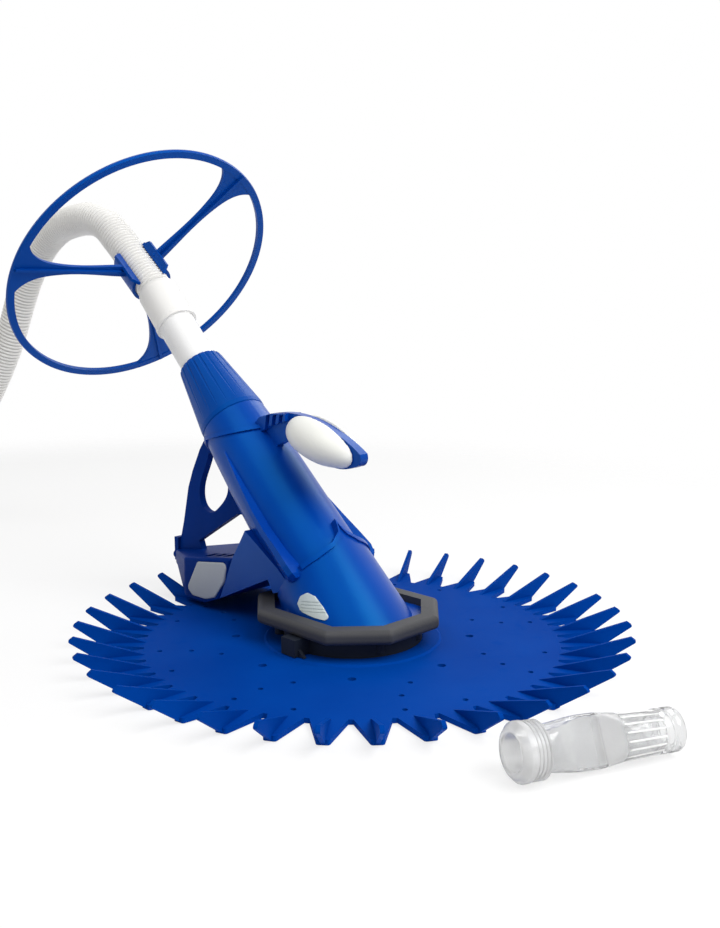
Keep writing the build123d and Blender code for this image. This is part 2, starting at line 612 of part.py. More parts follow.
def deflector_wheel():
    """Band wheel round the hose on three winged spokes and an open spring clip."""
    hub_r = HOSE_R + RUN_GAP
    band = turned([(WHEEL_R - WHEEL_BAND, -WHEEL_THICK / 2), (WHEEL_R - 0.8, -WHEEL_THICK / 2),
                   (WHEEL_R, 0), (WHEEL_R - 0.8, WHEEL_THICK / 2), (WHEEL_R - WHEEL_BAND, WHEEL_THICK / 2)])
    inner = WHEEL_R - 3
    root = hub_r + 2
    edge = [(root, 6.5), (root + 0.34 * (inner - root), 4.6), (inner - 45, 6.0), (inner - 19, 14),
            (inner - 6, 31)]
    wing = make_face([*Spline(*[(x, -y, 0) for x, y in edge]).edges(),
                      *Polyline((inner - 6, -31, 0), (inner, 0, 0), (inner - 6, 31, 0)).edges(),
                      *Spline(*[(x, y, 0) for x, y in reversed(edge)]).edges(),
                      *Line((root, 6.5, 0), (root, -6.5, 0)).edges()])
    spoke = extrude(wing, 1.6, both=True)
    rib_face = Pos((root + inner) / 2, 0, 0) * Rectangle(inner - root, 3.0)
    rib = extrude(rib_face, 4.2, both=True)
    hub = tube(hub_r + HUB_WALL, hub_r, -HUB_LENGTH / 2, HUB_LENGTH / 2)
    mouth = [(0, 0)]
    for turn in (-CLIP_MOUTH_HALF, 0, CLIP_MOUTH_HALF):
        mouth.append((60 * cos(radians(CLIP_MOUTH_AT + turn)), 60 * sin(radians(CLIP_MOUTH_AT + turn))))
    hub -= Pos(0, 0, -40) * extrude(make_face(Polyline(*mouth, close=True)), 80)
    body = hub + band
    for angle in SPOKES:
        body += Rot(0, 0, angle) * (spoke + rib)
    for sign in (-1, 1):
        jaw_face = make_face(Polyline((hub_r, 0, -22), (hub_r + 9, 0, -16), (hub_r + 9, 0, 22), (hub_r, 0, 26),
                                      close=True))
        body += Rot(0, 0, CLIP_MOUTH_AT + sign * (CLIP_MOUTH_HALF + 4)) * extrude(jaw_face, 1.5, both=True)
    keep = tube(WHEEL_R + 1, hub_r, -60, 60)
    return wheel_plane().location * (body & keep)


def main():
    """Build every node and write its STEP file."""
    os.makedirs("parts", exist_ok=True)
    path = hose_path()
    nodes = {
        "finned_disc": finned_disc(),
        "foot_pad": foot_pad(),
        "foot_ring": foot_ring(),
        "shelf_screws": shelf_screws(),
        "octagon_bumper": octagon_bumper(),
        "base_housing": base_housing(),
        "side_insert_left": side_insert(1),
        "side_insert_right": side_insert(-1),
        "barrel": barrel(),
        "diaphragm_seat": diaphragm_seat(),
        "diaphragm": working_diaphragm(),
        "spare_diaphragm": spare_diaphragm(),
        "inner_pipe": inner_pipe(),
        "outer_pipe": outer_pipe(),
        "pipe_seal": pipe_seal(),
        "compression_ring": compression_ring(),
        "compression_nut": compression_nut(),
        "front_bumper": front_bumper(),
        "front_pad_left": front_pad(1),
        "front_pad_right": front_pad(-1),
        "rear_frame": rear_frame(),
        "tail_bumper": tail_bumper(),
        "tail_pad_left": tail_pad(1),
        "tail_pad_right": tail_pad(-1),
        "tail_screw": tail_screw(),
        "hose_cuff": hose_cuff(),
        "leader_hose": along_path(path, HOSE_R, HOSE_BORE_R),
        "hose_end_cuff": hose_end_cuff(path),
        "deflector_wheel": deflector_wheel(),
    }
    for name, shape in nodes.items():
        solids = [s for part in (shape if isinstance(shape, list) else [shape]) for s in part.solids()]
        whole = solids[0] if len(solids) == 1 else Compound(children=solids)
        export_step(whole, f"parts/{name}.step")
        print(name, len(solids), round(sum(s.volume for s in solids) / 1000, 1))


main()
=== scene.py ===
import logging
import math
from dataclasses import dataclass
from enum import Enum
from typing import Any, Sequence

import bmesh
import bpy
from mathutils import Matrix, Vector


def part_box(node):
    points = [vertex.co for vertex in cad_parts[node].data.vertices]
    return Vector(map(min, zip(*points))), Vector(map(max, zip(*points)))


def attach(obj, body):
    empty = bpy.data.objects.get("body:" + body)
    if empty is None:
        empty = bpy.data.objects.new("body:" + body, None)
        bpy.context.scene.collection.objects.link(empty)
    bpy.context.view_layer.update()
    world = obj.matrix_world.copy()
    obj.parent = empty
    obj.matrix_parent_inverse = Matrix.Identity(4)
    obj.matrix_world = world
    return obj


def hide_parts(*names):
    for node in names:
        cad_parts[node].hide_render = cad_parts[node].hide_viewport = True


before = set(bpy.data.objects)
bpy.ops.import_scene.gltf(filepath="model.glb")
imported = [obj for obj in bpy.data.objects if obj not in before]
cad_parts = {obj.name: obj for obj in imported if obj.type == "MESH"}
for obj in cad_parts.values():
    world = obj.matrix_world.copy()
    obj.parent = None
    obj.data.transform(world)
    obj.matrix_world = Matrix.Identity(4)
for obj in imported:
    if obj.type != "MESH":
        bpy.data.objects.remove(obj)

LOG = logging.getLogger("pool_cleaner")
MM = 0.001
BODY = "body"
Point = tuple[float, float, float]
Colour = tuple[float, float, float]
Station = tuple[float, float, float]
Span = tuple[float, float]
Profile = tuple[Span, ...]
VALVE_AT = 77.5                     # millimetres along the barrel's axis to the working valve's mouth
WELD = 1e-7                         # metres within which two points are one


# ---- the barrel's leaning axis --------------------------------------------------------------
@dataclass(frozen=True)
class LeaningAxis:
    """The axis of the barrel, pipe and cuff, which leans back from the floor."""

    foot_x: float = 17.8            # where it meets the floor, in millimetres
    lean: float = math.radians(45)

    def at(self, along: float) -> Vector:
        """Return the axis' point this far up it from the floor, in millimetres."""
        rise = along * math.cos(self.lean)
        return Vector((self.foot_x - rise, 0, rise))

    @property
    def matrix(self) -> Matrix:
        """The turn and shift that stands a piece built along +Z on the axis, in metres."""
        return Matrix.Translation((self.foot_x * MM, 0, 0)) @ Matrix.Rotation(-self.lean, 4, "Y")


LEAN = LeaningAxis()


# ---- node arithmetic ------------------------------------------------------------------------
class Value:
    """A socket or number that can be added, multiplied and compared into more nodes."""

    def __init__(self, tree: "NodeTree", source: Any) -> None:
        """Keep the tree and the socket."""
        self.tree = tree
        self.source = source

    def __add__(self, other: Any) -> "Value":
        """Return the sum."""
        return self.tree.math("ADD", self, other)

    def __radd__(self, other: Any) -> "Value":
        """Return the sum, reflected."""
        return self.tree.math("ADD", other, self)

    def __sub__(self, other: Any) -> "Value":
        """Return the difference."""
        return self.tree.math("SUBTRACT", self, other)

    def __rsub__(self, other: Any) -> "Value":
        """Return the difference, reflected."""
        return self.tree.math("SUBTRACT", other, self)

    def __mul__(self, other: Any) -> "Value":
        """Return the product."""
        return self.tree.math("MULTIPLY", self, other)

    def __rmul__(self, other: Any) -> "Value":
        """Return the product, reflected."""
        return self.tree.math("MULTIPLY", other, self)

    def __truediv__(self, other: Any) -> "Value":
        """Return the quotient."""
        return self.tree.math("DIVIDE", self, other)

    def __rtruediv__(self, other: Any) -> "Value":
        """Return the quotient, reflected."""
        return self.tree.math("DIVIDE", other, self)

    def __pow__(self, other: Any) -> "Value":
        """Return the power."""
        return self.tree.math("POWER", self, other)

    def cosine(self) -> "Value":
        """Return the cosine of this value in radians."""
        return self.tree.math("COSINE", self)

    def smooth(self, low: float, high: float) -> "Value":
        """Return a smooth 0 to 1 step as this value goes from low to high.

        Args:
            low: the value at which the step starts.
            high: the value at which it is done.

        Returns:
            The step.
        """
        out = self.tree.node("ShaderNodeMapRange", {"interpolation_type": "SMOOTHSTEP"},
                             {"Value": self, "From Min": low, "From Max": high})
        return Value(self.tree, out.outputs["Result"])


class NodeTree:
    """Adds nodes to one tree: a material's or a Geometry Nodes group's."""

    def __init__(self, tree: bpy.types.NodeTree) -> None:
        """Keep the tree."""
        self.tree = tree

    def node(self, kind: str, settings: dict[str, Any] | None = None,
             inputs: dict[Any, Any] | None = None) -> Any:
        """Add a node: type, then its settings, then its inputs.

        Args:
            kind: the node's type name.
            settings: attributes set before the inputs.
            inputs: socket name or index to a number, colour, socket or Value.

        Returns:
            The new node.
        """
        made = self.tree.nodes.new(kind)
        for key, value in (settings or {}).items():
            setattr(made, key, value)
        for key, value in (inputs or {}).items():
            self.feed(made.inputs[key], value)
        return made

    def feed(self, socket: Any, value: Any) -> None:
        """Link or set one input socket.

        Args:
            socket: the input.
            value: a number, colour, socket or Value.
        """
        value = value.source if isinstance(value, Value) else value
        if isinstance(value, bpy.types.NodeSocket):
            self.tree.links.new(value, socket)
        else:
            socket.default_value = value

    def math(self, operation: str, *values: Any) -> Value:
        """Return a Math node's result.

        Args:
            operation: the node's operation.
            values: its inputs in order, each a number, socket or Value.

        Returns:
            The result.
        """
        made = self.node("ShaderNodeMath", {"operation": operation}, dict(enumerate(values)))
        return Value(self, made.outputs[0])


class ShaderTree(NodeTree):
    """Builds one material's nodes."""

    def __init__(self, name: str) -> None:
        """Start a material with its Principled shader.

        Args:
            name: the material's name.
        """
        self.material = bpy.data.materials.new(name)
        self.material.use_nodes = True
        super().__init__(self.material.node_tree)
        self.shader = self.tree.nodes["Principled BSDF"]

    def where(self) -> Any:
        """Return the object coordinate socket."""
        return self.node("ShaderNodeTexCoord").outputs["Object"]

    def noise(self, scale: float, detail: float = 2.0, roughness: float = 0.5,
              stretch: Point | None = None) -> Value:
        """Return fractal noise of the object coordinates, about 0 to 1.

        Args:
            scale: cells per metre.
            detail: octaves.
            roughness: how much the small octaves count.
            stretch: scale of each axis, or None.

        Returns:
            The noise.
        """
        where = self.where()
        if stretch:
            where = self.node("ShaderNodeMapping", {}, {"Vector": where, "Scale": stretch}).outputs[0]
        made = self.node("ShaderNodeTexNoise", {}, {"Vector": where, "Scale": scale, "Detail": detail,
                                                     "Roughness": roughness})
        return Value(self, made.outputs[0])

    def attribute(self, name: str) -> Value:
        """Return a mesh attribute's number."""
        return Value(self, self.node("ShaderNodeAttribute", {"attribute_name": name}).outputs["Fac"])

    def blend(self, factor: Any, low: Any, high: Any) -> Value:
        """Return the colour between two others.

        Args:
            factor: 0 for low, 1 for high.
            low: a colour or Value.
            high: a colour or Value.

        Returns:
            The colour.
        """
        low, high = (c if isinstance(c, Value) else (*c, 1.0) for c in (low, high))
        made = self.node("ShaderNodeMix", {"data_type": "RGBA"}, {0: factor, 6: low, 7: high})
        return Value(self, made.outputs[2])

    def bump(self, height: Any, distance: float) -> Value:
        """Return a normal bent by a height.

        Args:
            height: the height, about 0 to 1.
            distance: metres that a height of 1 stands for.

        Returns:
            The normal.
        """
        made = self.node("ShaderNodeBump", {}, {"Height": height, "Distance": distance, "Strength": 1.0})
        return Value(self, made.outputs["Normal"])

    def set(self, **inputs: Any) -> None:
        """Set the Principled shader's inputs; underscores stand for spaces."""
        for key, value in inputs.items():
            self.feed(self.shader.inputs[key.replace("_", " ")], value)


class GeometryTree(NodeTree):
    """Builds one Geometry Nodes group with named inputs."""

    SOCKETS = {int: "NodeSocketInt", float: "NodeSocketFloat", bpy.types.Material: "NodeSocketMaterial"}

    def __init__(self, name: str, **inputs: Any) -> None:
        """Start a group.

        Args:
            name: the group's name.
            inputs: each named input's value, whose type gives the socket's.
        """
        super().__init__(bpy.data.node_groups.new(name, "GeometryNodeTree"))
        face = self.tree.interface
        face.new_socket("Geometry", in_out="INPUT", socket_type="NodeSocketGeometry")
        self.values = {}
        for label, value in inputs.items():
            socket = face.new_socket(label, in_out="INPUT", socket_type=self.SOCKETS[type(value)])
            self.values[socket.identifier] = value
        face.new_socket("Geometry", in_out="OUTPUT", socket_type="NodeSocketGeometry")
        self.source = self.node("NodeGroupInput")

    def given(self, label: str) -> Value:
        """Return one of the group's inputs."""
        return Value(self, self.source.outputs[label])

    def close(self, geometry: Any) -> None:
        """Realize the instances, paint them and send them out.

        Args:
            geometry: the socket of what the group has made.
        """
        real = self.node("GeometryNodeRealizeInstances", {}, {"Geometry": geometry})
        painted = self.node("GeometryNodeSetMaterial", {}, {"Geometry": real.outputs[0],
                                                            "Material": self.given("Finish")})
        self.node("NodeGroupOutput", {}, {"Geometry": painted.outputs[0]})

    def run(self, obj: bpy.types.Object) -> bpy.types.Mesh:
        """Run the group on an object and take its modifier off again.

        Args:
            obj: the curve or mesh that the group starts from.

        Returns:
            The plain mesh that the group makes.
        """
        rule = obj.modifiers.new(self.tree.name, "NODES")
        rule.node_group = self.tree
        for identifier, value in self.values.items():
            rule[identifier] = value
        graph = bpy.context.evaluated_depsgraph_get()
        mesh = bpy.data.meshes.new_from_object(obj.evaluated_get(graph))
        obj.modifiers.remove(rule)
        return mesh


# ---- finishes -------------------------------------------------------------------------------
@dataclass(frozen=True)
class Moulded:
    """Injection-moulded plastic or rubber with faint mottling, grain and handling wear, and painted shade in
    its grooves where asked.
    """

    low: Colour
    high: Colour
    roughness: float = 0.35
    spread: float = 0.10            # how far the roughness varies
    grain: float = 0.00004          # depth in metres
    grain_scale: float = 1800.0
    coat: float = 0.0
    specular: float = 0.5
    tint: Colour = (1.0, 1.0, 1.0)  # of the reflection seen head on
    scuffed: float = 0.06           # how much the worn spots show
    groove: float = 0.0             # painted shade: how much darker the piece's own grooves are painted
    cloud_scale: float = 9.0
    cloud_share: float = 0.8        # of the mottling; the grain has the rest
    mottle_band: Span = (0.3, 0.7)
    scuff_scale: float = 60.0
    scuff_stretch: Point = (1.0, 1.0, 3.0)
    scuff_band: Span = (0.54, 0.76)
    worn_gain: float = 1.12
    worn_lift: float = 0.004
    coat_roughness: float = 0.18

    @property
    def worn(self) -> Colour:
        """The paler colour of worn spots."""
        return tuple(min(1.0, c * self.worn_gain + self.worn_lift) for c in self.high)

    @property
    def painted_groove_shade(self) -> Colour:
        """The darker colour painted down in the grooves, as painted shade."""
        return tuple(c * (1.0 - self.groove) for c in self.low)

    def build(self, name: str) -> bpy.types.Material:
        """Build the material.

        Args:
            name: the material's name.

        Returns:
            The material.
        """
        tree = ShaderTree(name)
        cloud = tree.noise(self.cloud_scale, detail=3.0)
        fine = tree.noise(self.grain_scale)
        worn = tree.noise(self.scuff_scale, detail=5.0, roughness=0.7, stretch=self.scuff_stretch)
        scuff = worn.smooth(*self.scuff_band)
        mottle = cloud * self.cloud_share + fine * (1.0 - self.cloud_share)
        colour = tree.blend(mottle.smooth(*self.mottle_band), self.low, self.high)
        # Painted shade: the grooves that the groove attribute marks are painted darker.
        if self.groove:
            colour = tree.blend(tree.attribute("groove"), colour, self.painted_groove_shade)
        tree.set(Base_Color=tree.blend(scuff * self.scuffed, colour, self.worn),
                 Roughness=self.roughness + (fine - 0.5) * self.spread + scuff * self.spread,
                 Specular_IOR_Level=self.specular, Specular_Tint=(*self.tint, 1.0),
                 Coat_Weight=self.coat, Coat_Roughness=self.coat_roughness,
                 Normal=tree.bump(fine, self.grain))
        return tree.material


@dataclass(frozen=True)
class Silicone:
    """Clear or milky flexible silicone, frosted where the piece's own attribute says."""

    low: Colour = (0.76, 0.765, 0.77)
    high: Colour = (0.86, 0.865, 0.87)
    frosted: Colour = (0.93, 0.93, 0.93)
    roughness: float = 0.06
    spread: float = 0.08            # how far the roughness varies
    frost_roughness: float = 0.35   # added where it is frosted
    frost_spread: float = 0.2
    frost_grain: float = 0.3        # the speckle's share of the height there
    clear: float = 0.86
    index: float = 1.41
    cloud_scale: float = 40.0
    cloud_band: Span = (0.3, 0.7)
    speckle_scale: float = 1400.0
    ripple_scale: float = 220.0
    ripple: float = 0.0003          # depth in metres

    def build(self, name: str) -> bpy.types.Material:
        """Build the material.

        Args:
            name: the material's name.

        Returns:
            The material.
        """
        tree = ShaderTree(name)
        cloud = tree.noise(self.cloud_scale, detail=3.0)
        frost = tree.attribute("frost")
        speckle = tree.noise(self.speckle_scale)
        clear = tree.blend(cloud.smooth(*self.cloud_band), self.low, self.high)
        rough = frost * (self.frost_roughness + speckle * self.frost_spread)
        height = tree.noise(self.ripple_scale) + speckle * frost * self.frost_grain
        tree.set(Base_Color=tree.blend(frost, clear, self.frosted),
                 Roughness=self.roughness + cloud * self.spread + rough,
                 IOR=self.index, Transmission_Weight=self.clear,
                 Normal=tree.bump(height, self.ripple))
        return tree.material


# The blues reflect bluish, so that the white surround doesn't grey them.
BLUE_GLOSS: Colour = (0.03, 0.65, 1.0)
SOFT_GLOSS: Colour = (0.05, 0.45, 1.0)


class Finish(Enum):
    """Every finish the cleaner wears."""

    DISC = Moulded((0.0, 0.040, 0.276), (0.0004, 0.051, 0.322), roughness=0.55, spread=0.12, grain=0.00006,
                   grain_scale=1200.0, specular=0.015, tint=SOFT_GLOSS)
    BODY = Moulded((0.0, 0.038, 0.308), (0.0004, 0.050, 0.362), roughness=0.30, grain=0.00003,
                   grain_scale=1900.0, specular=0.36, tint=BLUE_GLOSS)
    # The body's blue plastic painted darker, as painted shade for the rear frame and tail.
    FRAME = Moulded((0.0, 0.022, 0.180), (0.0003, 0.031, 0.232), roughness=0.42, specular=0.025,
                    tint=SOFT_GLOSS)
    NUT = Moulded((0.0002, 0.042, 0.275), (0.0008, 0.056, 0.335), roughness=0.40, specular=0.25,
                  tint=BLUE_GLOSS)
    WHEEL = Moulded((0.0004, 0.046, 0.30), (0.001, 0.059, 0.36), roughness=0.40, specular=0.22,
                    tint=BLUE_GLOSS)
    BUMPER = Moulded((0.040, 0.041, 0.045), (0.056, 0.057, 0.062), roughness=0.55, spread=0.12,
                     grain=0.00010, grain_scale=900.0, specular=0.22, scuffed=0.25)
    FOOT = Moulded((0.008, 0.011, 0.019), (0.013, 0.017, 0.027), roughness=0.5, spread=0.12, grain=0.00006,
                   grain_scale=900.0, specular=0.2)
    PAD = Moulded((0.84, 0.845, 0.80), (0.89, 0.893, 0.855), roughness=0.42, grain=0.00005,
                  grain_scale=1100.0, specular=0.35)
    PAD_GREY = Moulded((0.42, 0.455, 0.485), (0.50, 0.53, 0.55), roughness=0.42, grain=0.00005,
                       grain_scale=1100.0, specular=0.35)
    INSERT = Moulded((0.55, 0.63, 0.63), (0.64, 0.71, 0.71), roughness=0.4, grain=0.00005,
                     grain_scale=1100.0, specular=0.4)
    # Its grooves are painted darker, as painted shade.
    HOSE = Moulded((0.82, 0.812, 0.785), (0.87, 0.862, 0.84), roughness=0.42, spread=0.08, grain=0.00002,
                   grain_scale=1500.0, specular=0.35, groove=0.16)
    PIPE = Moulded((0.82, 0.82, 0.815), (0.87, 0.87, 0.865), roughness=0.28, spread=0.08, grain=0.00002,
                   grain_scale=1500.0, coat=0.08, specular=0.4)
    SEAT = Moulded((0.30, 0.31, 0.33), (0.34, 0.35, 0.37), roughness=0.45)
    SEAL = Moulded((0.018, 0.018, 0.018), (0.026, 0.026, 0.026), roughness=0.5)
    STEEL = Moulded((0.55, 0.55, 0.56), (0.62, 0.62, 0.63), roughness=0.3, grain=0.00003,
                    grain_scale=2500.0, specular=0.8)
    CLEAR = Silicone()
    MILKY = Silicone((0.82, 0.823, 0.826), (0.89, 0.893, 0.896), roughness=0.14, clear=0.62)
    # The ribs' silicone, painted whiter and less clear than the wall: partly a painted highlight along the
    # ribs.
    RIB_SILICONE_PAINTED_HIGHLIGHT = Silicone((0.94, 0.945, 0.95), (0.97, 0.97, 0.97), roughness=0.22, clear=0.12)

    @property
    def material(self) -> bpy.types.Material:
        """The built material, made once."""
        name = "finish_" + self.name.lower()
        return bpy.data.materials.get(name) or self.value.build(name)


NODE_FINISH: dict[str, Finish] = {
    "finned_disc": Finish.DISC,
    "foot_pad": Finish.FOOT, "foot_ring": Finish.FOOT,
    "shelf_screws": Finish.STEEL,
    "octagon_bumper": Finish.BUMPER,
    "base_housing": Finish.BODY, "barrel": Finish.BODY, "front_bumper": Finish.BODY,
    "diaphragm_seat": Finish.SEAT,
    "inner_pipe": Finish.PIPE, "outer_pipe": Finish.PIPE, "compression_ring": Finish.PIPE,
    "pipe_seal": Finish.SEAL,
    "compression_nut": Finish.NUT,
    # The rear frame and tail wear the body's blue with painted shade.
    "rear_frame": Finish.FRAME, "tail_bumper": Finish.FRAME, "tail_screw": Finish.FRAME,
    "hose_cuff": Finish.HOSE, "hose_end_cuff": Finish.HOSE,
    "deflector_wheel": Finish.WHEEL,
    "side_insert_left": Finish.INSERT, "side_insert_right": Finish.INSERT,
}


def dress(obj: bpy.types.Object, finish: Finish) -> None:
    """Give an object one finish and report it.

    Args:
        obj: the piece.
        finish: what it wears.
    """
    obj.data.materials.clear()
    obj.data.materials.append(finish.material)
    LOG.info("%s: %s, %d faces", obj.name, finish.name.lower(), len(obj.data.polygons))


# ---- mesh building --------------------------------------------------------------------------
def add_object(name: str, data: Any) -> bpy.types.Object:
    """Link new object data into the scene at the origin.

    Args:
        name: the object's name.
        data: its mesh, curve, camera or light.

    Returns:
        The object.
    """
    obj = bpy.data.objects.new(name, data)
    bpy.context.scene.collection.objects.link(obj)
    return obj


def skin_mesh(name: str, rings: Sequence[Sequence[Vector]], capped: bool = False) -> bpy.types.Mesh:
    """Skin a list of closed rings of equal count into a mesh with no open edge.

    Args:
        name: the mesh's name.
        rings: each ring's points, in metres.
        capped: the first and last rings are filled; otherwise the last joins the first.

    Returns:
        The mesh, normals outward.
    """
    mesh = bpy.data.meshes.new(name)
    count, total = len(rings[0]), len(rings)
    faces = []
    if capped:
        faces = [tuple(reversed(range(count))), tuple(range((total - 1) * count, total * count))]
    for i in range(total - 1 if capped else total):
        a, b = i * count, (i + 1) % total * count
        for j in range(count):
            k = (j + 1) % count
            faces.append((a + j, a + k, b + k, b + j))
    mesh.from_pydata([tuple(p) for ring in rings for p in ring], [], faces)
    finish_mesh(mesh)
    return mesh


def finish_mesh(mesh: bpy.types.Mesh, smooth_below: float = 35.0) -> None:
    """Merge doubles, point all normals outward and shade smooth except over sharp edges.

    Args:
        mesh: the mesh, changed in place.
        smooth_below: the largest angle in degrees that is shaded smooth.
    """
    work = bmesh.new()
    work.from_mesh(mesh)
    bmesh.ops.remove_doubles(work, verts=work.verts, dist=WELD)
    bmesh.ops.recalc_face_normals(work, faces=work.faces)
    limit = math.radians(smooth_below)
    for face in work.faces:
        face.smooth = True
    for edge in work.edges:
        edge.smooth = len(edge.link_faces) == 2 and edge.calc_face_angle(0.0) < limit
    work.to_mesh(mesh)
    work.free()


def stand_for(piece: bpy.types.Object, node: str) -> None:
    """Let a piece of the body stand for one CAD node.

    Args:
        piece: the visible piece.
        node: the node that it replaces.
    """
    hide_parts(node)
    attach(piece, BODY)


# ---- hose -----------------------------------------------------------------------------------
@dataclass
class LeaderHose:
    """Corrugated hose along the route that its solid follows."""

    radius: float = 17.7 * MM
    root_depth: float = 2.2 * MM    # how far the roots lie below the crests
    pitch: float = 4.3 * MM
    crest: float = 0.55             # below 1, the crests are broad and the roots narrow
    cuff_at: float = 428.0          # where the hose leaves its cuff, in millimetres up the axis
    route: tuple[Point, ...] = (
        (-0.336, 0, 0.3446), (-0.394, 0, 0.3883), (-0.530, 0, 0.365),
        (-0.612, -0.016, 0.190), (-0.760, -0.066, 0.0195), (-0.985, -0.105, 0.0214))
    length: float = 0.905           # metres from the cuff to the end cuff
    sides: int = 40
    steps: int = 9                  # rings in one pitch
    smooth_below: float = 80.0      # degrees
    order: int = 3                  # of the route's curve
    resolution: int = 64

    def spline(self) -> bpy.types.Object:
        """Draw the route from the cuff on.

        Returns:
            The NURBS curve.
        """
        data = bpy.data.curves.new("hose_route", "CURVE")
        data.dimensions = "3D"
        data.resolution_u = self.resolution
        line = data.splines.new("NURBS")
        points = [LEAN.at(self.cuff_at) * MM] + [Vector(p) for p in self.route]
        line.points.add(len(points) - 1)
        for target, p in zip(line.points, points):
            target.co = (*p, 1.0)
        line.order_u = self.order
        line.use_endpoint_u = True
        return add_object("hose_route", data)

    def rule(self) -> GeometryTree:
        """Make the rule that turns a line into corrugated tube.

        Returns:
            The group, whose mesh keeps how deep each spot lies as its groove attribute.
        """
        tree = GeometryTree("corrugate", Radius=self.radius, Root=self.root_depth, Pitch=self.pitch,
                            Finish=Finish.HOSE.material)
        pitch = tree.given("Pitch")
        line = tree.node("GeometryNodeResampleCurve", {"mode": "LENGTH"},
                         {"Curve": tree.given("Geometry"), "Length": pitch / float(self.steps)})
        along = Value(tree, tree.node("GeometryNodeSplineParameter").outputs["Length"])
        groove = 1.0 - ((along / pitch * math.tau).cosine() * 0.5 + 0.5) ** self.crest
        # The hose's finish reads this attribute to paint shade into the grooves.
        marked = tree.node("GeometryNodeStoreNamedAttribute", {"data_type": "FLOAT", "domain": "POINT"},
                           {"Geometry": line.outputs["Curve"], "Name": "groove", "Value": groove})
        circle = tree.node("GeometryNodeCurvePrimitiveCircle", {}, {"Resolution": self.sides, "Radius": 1.0})
        skin = tree.node("GeometryNodeCurveToMesh", {}, {
            "Curve": marked.outputs["Geometry"], "Profile Curve": circle.outputs["Curve"],
            "Scale": tree.given("Radius") - groove * tree.given("Root"), "Fill Caps": True})
        tree.close(skin.outputs["Mesh"])
        return tree

    def build(self) -> None:
        spline = self.spline()
        graph = bpy.context.evaluated_depsgraph_get()
        line = bpy.data.meshes.new_from_object(spline.evaluated_get(graph))
        mesh = self.rule().run(spline)
        bpy.data.objects.remove(spline)
        finish_mesh(mesh, self.smooth_below)
        hose = add_object("leader_hose_ribbed", mesh)
        dress(hose, Finish.HOSE)
        stand_for(hose, "leader_hose")


# ---- flexible valve -------------------------------------------------------------------------
def ramp(value: float, low: float, high: float) -> float:
    """Return a smooth 0 to 1 step as a number goes from low to high."""
    share = min(1.0, max(0.0, (value - low) / (high - low)))
    return share * share * (3.0 - 2.0 * share)


